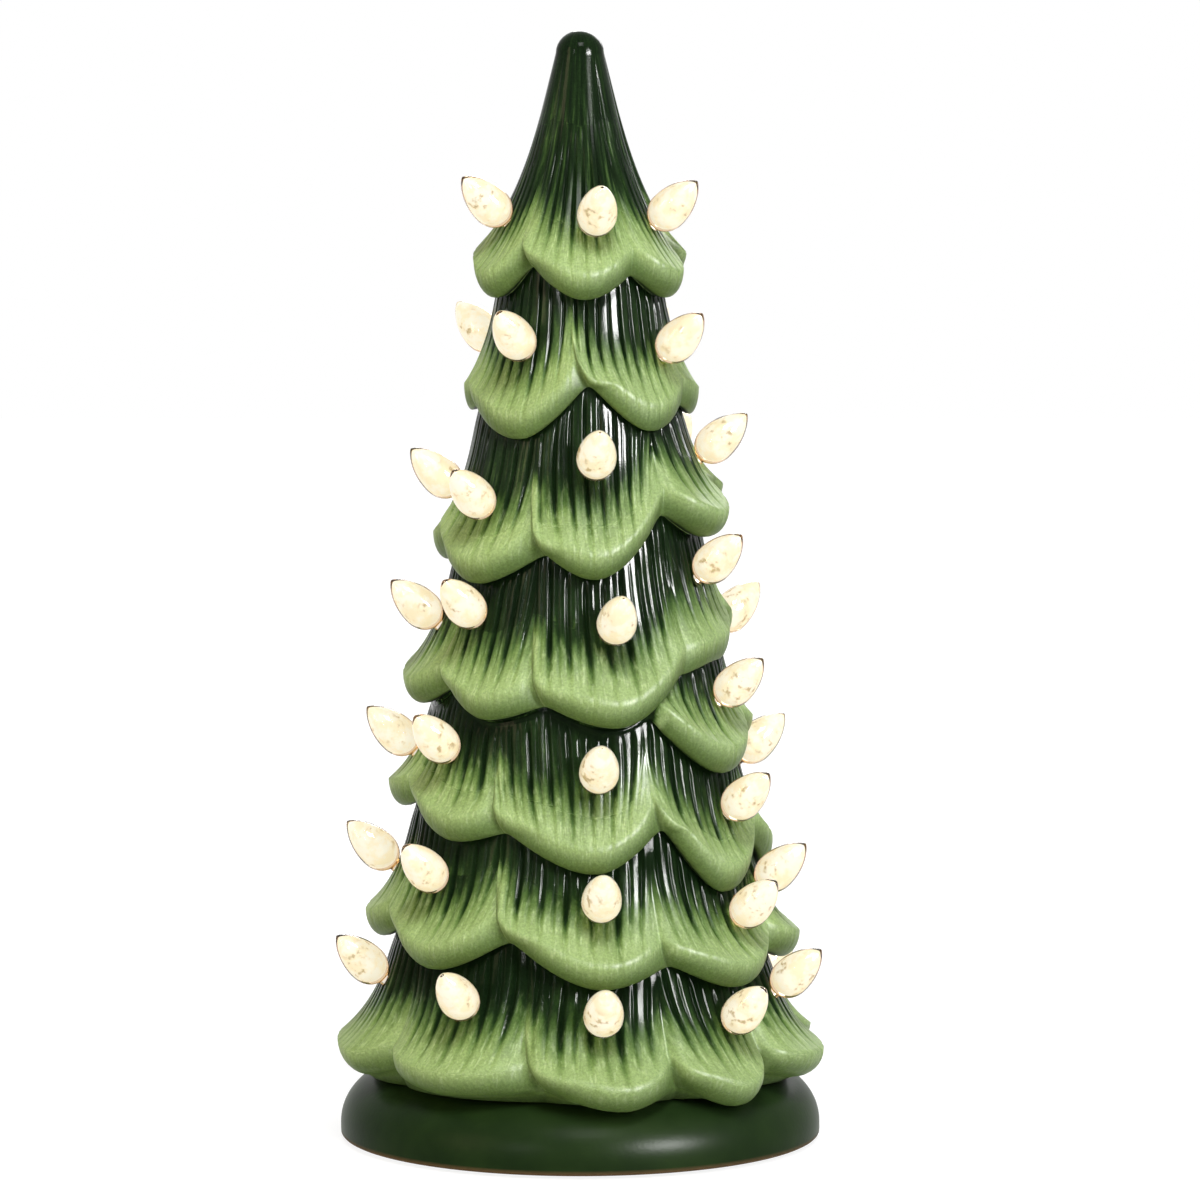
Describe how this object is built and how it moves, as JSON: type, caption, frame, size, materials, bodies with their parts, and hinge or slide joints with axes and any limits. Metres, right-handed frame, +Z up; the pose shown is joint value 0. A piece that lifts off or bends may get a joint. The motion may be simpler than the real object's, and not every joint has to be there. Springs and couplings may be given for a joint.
{
  "type": "tabletop christmas tree",
  "caption": "Glazed ceramic tabletop tree with drooping petal-like branches, lit plastic bulbs set into it and a round lamp base.",
  "frame": {"origin": "centre of the round foot, on the surface it stands on", "axes": "+Z up, -Y towards the front of the picture, +X to its right"},
  "size_m": [0.1318, 0.1368, 0.3],
  "materials": {
    "tree_glaze": "glossy dark green glaze with pale green rims",
    "base_glaze": "glossy dark green glaze",
    "bulb_lit": "clear plastic, lit warm white",
    "black_plastic": "fine matt",
    "white_plastic": "satin",
    "frosted_plastic": "frosted",
    "lamp_clear": "clear",
    "board_white": "white solder mask",
    "grey_rubber": "matt",
    "contact_steel": "bright",
    "cell_sleeve": "plain printed sleeve, no lettering"
  },
  "bodies": {
    "base": {"base_cover": "base_glaze", "base_plate": "black_plastic", "foot_ring": "grey_rubber", "battery_cell_1": "cell_sleeve", "battery_cell_2": "cell_sleeve", "battery_cell_3": "cell_sleeve", "contact_strip_1": "contact_steel", "contact_strip_2": "contact_steel", "screw_1": "contact_steel", "screw_2": "contact_steel", "screw_3": "contact_steel", "switch_body": "black_plastic", "lamp_lens": "frosted_plastic", "led_board": "board_white", "led_lamp": "lamp_clear"},
    "tree": {"tree_shell": "tree_glaze", "bulb_01": "bulb_lit", "bulb_02": "bulb_lit", "bulb_03": "bulb_lit", "bulb_04": "bulb_lit", "bulb_05": "bulb_lit", "bulb_06": "bulb_lit", "bulb_07": "bulb_lit", "bulb_08": "bulb_lit", "bulb_09": "bulb_lit", "bulb_10": "bulb_lit", "bulb_11": "bulb_lit", "bulb_12": "bulb_lit", "bulb_13": "bulb_lit", "bulb_14": "bulb_lit", "bulb_15": "bulb_lit", "bulb_16": "bulb_lit", "bulb_17": "bulb_lit", "bulb_18": "bulb_lit", "bulb_19": "bulb_lit", "bulb_20": "bulb_lit", "bulb_21": "bulb_lit", "bulb_22": "bulb_lit", "bulb_23": "bulb_lit", "bulb_24": "bulb_lit", "bulb_25": "bulb_lit", "bulb_26": "bulb_lit", "bulb_27": "bulb_lit", "bulb_28": "bulb_lit", "bulb_29": "bulb_lit", "bulb_30": "bulb_lit", "bulb_31": "bulb_lit", "bulb_32": "bulb_lit", "bulb_33": "bulb_lit", "bulb_34": "bulb_lit", "bulb_35": "bulb_lit", "bulb_36": "bulb_lit", "bulb_37": "bulb_lit", "bulb_38": "bulb_lit", "bulb_39": "bulb_lit", "bulb_40": "bulb_lit", "bulb_41": "bulb_lit", "bulb_42": "bulb_lit"},
    "battery_door": {"battery_door": "black_plastic"},
    "switch_knob": {"switch_knob": "white_plastic"}
  },
  "joints": [
    {"name": "tree_lift", "type": "slide", "parent": "base", "child": "tree", "axis": [0, 0, 1], "range_m": [0, 0.045]},
    {"name": "door_hinge", "type": "hinge", "parent": "base", "child": "battery_door", "pos_m": [0, 0.01455, 0.0026], "axis": [1, 0, 0], "range_deg": [0, 95]},
    {"name": "switch_slide", "type": "slide", "parent": "base", "child": "switch_knob", "axis": [1, 0, 0], "range_m": [0, 0.003]}
  ]
}
